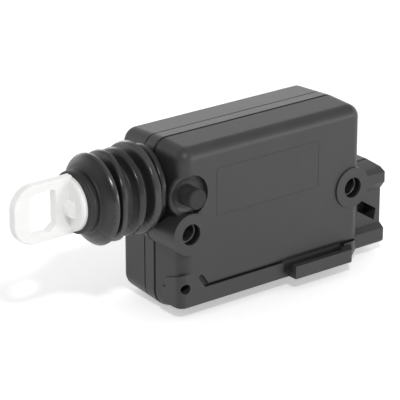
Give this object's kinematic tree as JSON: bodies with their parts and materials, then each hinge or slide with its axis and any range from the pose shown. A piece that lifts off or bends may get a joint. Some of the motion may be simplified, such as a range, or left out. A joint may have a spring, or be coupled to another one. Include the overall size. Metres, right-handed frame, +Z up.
{
  "type": "door latch actuator",
  "caption": "Flat moulded actuator box with a white pull eye in a rubber bellows, side mounting bores, a locating peg and a plug socket at the end.",
  "frame": {"origin": "axis of the left mounting bore, on the rear mounting face of its steel bush", "axes": "+X along the plunger towards the plug socket, +Y from the front face to the rear mounting face, +Z up"},
  "size_m": [0.1265, 0.0317, 0.0516],
  "materials": {
    "housing_plastic": "satin, fine moulded grain",
    "boot_rubber": "satin",
    "seal_rubber": "matte",
    "white_nylon": "satin",
    "gear_nylon": "satin",
    "bush_steel": "zinc plated, dull",
    "axle_steel": "ground",
    "can_steel": "plated sheet",
    "core_steel": "stacked sheet",
    "magnet": "sintered",
    "carbon": "matte",
    "cap_plastic": "matte",
    "copper": "bright",
    "contact_brass": "bright",
    "terminal_tin": "tin plated",
    "board": "laminate"
  },
  "bodies": {
    "housing": {"front_housing": "housing_plastic", "rear_cover": "housing_plastic", "housing_seal": "seal_rubber", "mount_bush_left": "bush_steel", "mount_bush_right": "bush_steel", "plunger_guide": "housing_plastic", "boot": "boot_rubber", "front_buffer": "seal_rubber", "rear_buffer": "seal_rubber", "gear_axle": "axle_steel", "motor_can": "can_steel", "motor_end_cap": "cap_plastic", "motor_magnets": "magnet", "motor_brushes": "carbon", "motor_tabs": "contact_brass", "terminal_block": "cap_plastic", "terminal_1": "terminal_tin", "terminal_2": "terminal_tin", "terminal_3": "terminal_tin", "terminal_4": "terminal_tin", "terminal_5": "terminal_tin", "contact_board": "board", "contact_tracks": "copper"},
    "plunger": {"plunger_eye": "white_nylon", "rack_slider": "white_nylon", "wiper": "contact_brass"},
    "gear": {"compound_gear": "gear_nylon"},
    "rotor": {"motor_shaft": "axle_steel", "armature": "core_steel", "armature_windings": "copper", "commutator": "copper", "motor_pinion": "contact_brass"}
  },
  "joints": [
    {"name": "plunger_slide", "type": "slide", "parent": "housing", "child": "plunger", "axis": [-1, 0, 0], "range_m": [0, 0.018], "deforming": ["boot"]},
    {"name": "gear_spin", "type": "hinge", "parent": "housing", "child": "gear", "pos_m": [0.03008, -0.0147, 0.0104], "axis": [0, 0, 1], "range_deg": [-192, 1]},
    {"name": "rotor_spin", "type": "hinge", "parent": "housing", "child": "rotor", "pos_m": [0.04208, -0.0147, -0.0026], "axis": [0, 0, 1], "range_deg": [-1, 574]}
  ],
  "couplings": [
    {"joint": "gear_spin", "follows": "plunger_slide", "rad_per_m": -185.19},
    {"joint": "rotor_spin", "follows": "plunger_slide", "rad_per_m": 555.56}
  ]
}
